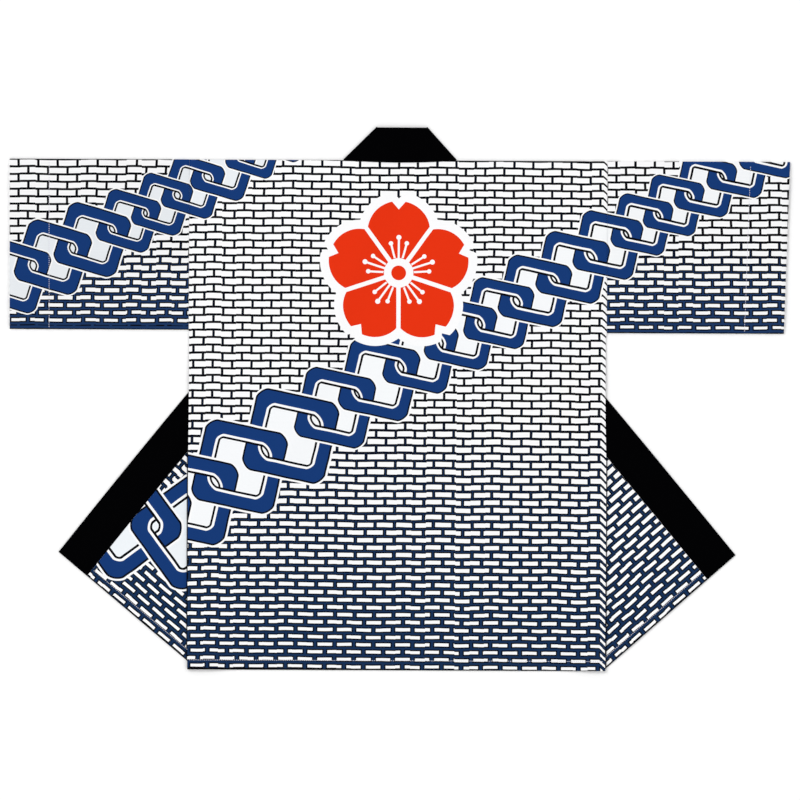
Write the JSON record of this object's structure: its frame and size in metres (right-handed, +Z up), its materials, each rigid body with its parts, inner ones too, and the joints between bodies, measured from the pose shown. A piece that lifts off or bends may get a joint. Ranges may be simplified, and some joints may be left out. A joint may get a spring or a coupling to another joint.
{
  "type": "happi coat",
  "caption": "Short straight-cut festival coat in printed cotton with wide sleeves and a black collar band, laid flat with its back up and its fronts folded under.",
  "frame": {"origin": "centre of the coat's outline on the table it lies on", "axes": "+X from the left sleeve's cuff to the right sleeve's cuff as seen from above, +Y from the hem to the collar, +Z up from the table"},
  "size_m": [1.248, 0.8697, 0.0054],
  "materials": {
    "printed_cotton": "matte plain-weave cotton with a printed pattern",
    "black_cotton": "matte black cotton twill"
  },
  "bodies": {
    "root": {"back": "printed_cotton", "front_left": "printed_cotton", "front_right": "printed_cotton", "sleeve_left": "printed_cotton", "sleeve_right": "printed_cotton", "collar": "black_cotton"}
  },
  "joints": []
}
